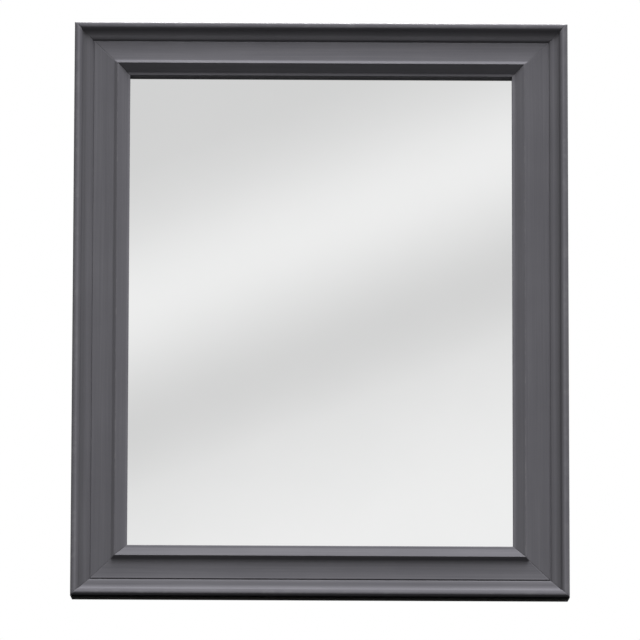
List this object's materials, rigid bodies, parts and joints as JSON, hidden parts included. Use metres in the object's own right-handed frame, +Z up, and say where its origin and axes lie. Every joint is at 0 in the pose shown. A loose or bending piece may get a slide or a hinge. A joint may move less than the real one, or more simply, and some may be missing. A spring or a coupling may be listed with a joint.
{
  "type": "framed wall mirror",
  "caption": "Rectangular wall mirror in a wide stepped moulding frame with mitred corners, hung from swinging D-rings on strap hangers.",
  "frame": {"origin": "middle of the frame on the plane of the wall that its bumpers rest on", "axes": "+X to the viewer's right, +Z up, +Y out of the back into the wall; the glass faces -Y"},
  "size_m": [0.66, 0.0315, 0.825],
  "materials": {
    "frame_paint": "satin charcoal grey paint on moulded board, raw board at the back",
    "mirror_glass": "silvered float glass with ground edges",
    "foam_sheet": "closed-cell packing foam",
    "hardboard": "brown pressed hardboard",
    "zinc_steel": "bright zinc plate",
    "bumper_rubber": "matt black rubber"
  },
  "bodies": {
    "frame": {"top_rail": "frame_paint", "bottom_rail": "frame_paint", "left_stile": "frame_paint", "right_stile": "frame_paint", "mirror_glass": "mirror_glass", "foam_sheet": "foam_sheet", "backing_board": "hardboard", "bumper_bottom_left": "bumper_rubber", "bumper_bottom_right": "bumper_rubber", "bumper_top_left": "bumper_rubber", "bumper_top_right": "bumper_rubber", "framer_point_bottom_1": "zinc_steel", "framer_point_bottom_2": "zinc_steel", "framer_point_bottom_3": "zinc_steel", "framer_point_left_1": "zinc_steel", "framer_point_left_2": "zinc_steel", "framer_point_left_3": "zinc_steel", "framer_point_left_4": "zinc_steel", "framer_point_right_1": "zinc_steel", "framer_point_right_2": "zinc_steel", "framer_point_right_3": "zinc_steel", "framer_point_right_4": "zinc_steel", "framer_point_top_1": "zinc_steel", "framer_point_top_2": "zinc_steel", "framer_point_top_3": "zinc_steel", "left_hanger_strap": "zinc_steel", "left_strap_screw_lower": "zinc_steel", "left_strap_screw_upper": "zinc_steel", "right_hanger_strap": "zinc_steel", "right_strap_screw_lower": "zinc_steel", "right_strap_screw_upper": "zinc_steel", "v_nail_bottom_left_inner": "zinc_steel", "v_nail_bottom_left_outer": "zinc_steel", "v_nail_bottom_right_inner": "zinc_steel", "v_nail_bottom_right_outer": "zinc_steel", "v_nail_top_left_inner": "zinc_steel", "v_nail_top_left_outer": "zinc_steel", "v_nail_top_right_inner": "zinc_steel", "v_nail_top_right_outer": "zinc_steel"},
    "left_ring": {"left_d_ring": "zinc_steel"},
    "right_ring": {"right_d_ring": "zinc_steel"}
  },
  "joints": [
    {"name": "left_ring_swing", "type": "hinge", "parent": "frame", "child": "left_ring", "pos_m": [-0.299, -0.00355, 0.206], "axis": [1, 0, 0], "range_deg": [0, 176]},
    {"name": "right_ring_swing", "type": "hinge", "parent": "frame", "child": "right_ring", "pos_m": [0.299, -0.00355, 0.206], "axis": [1, 0, 0], "range_deg": [0, 176]}
  ]
}
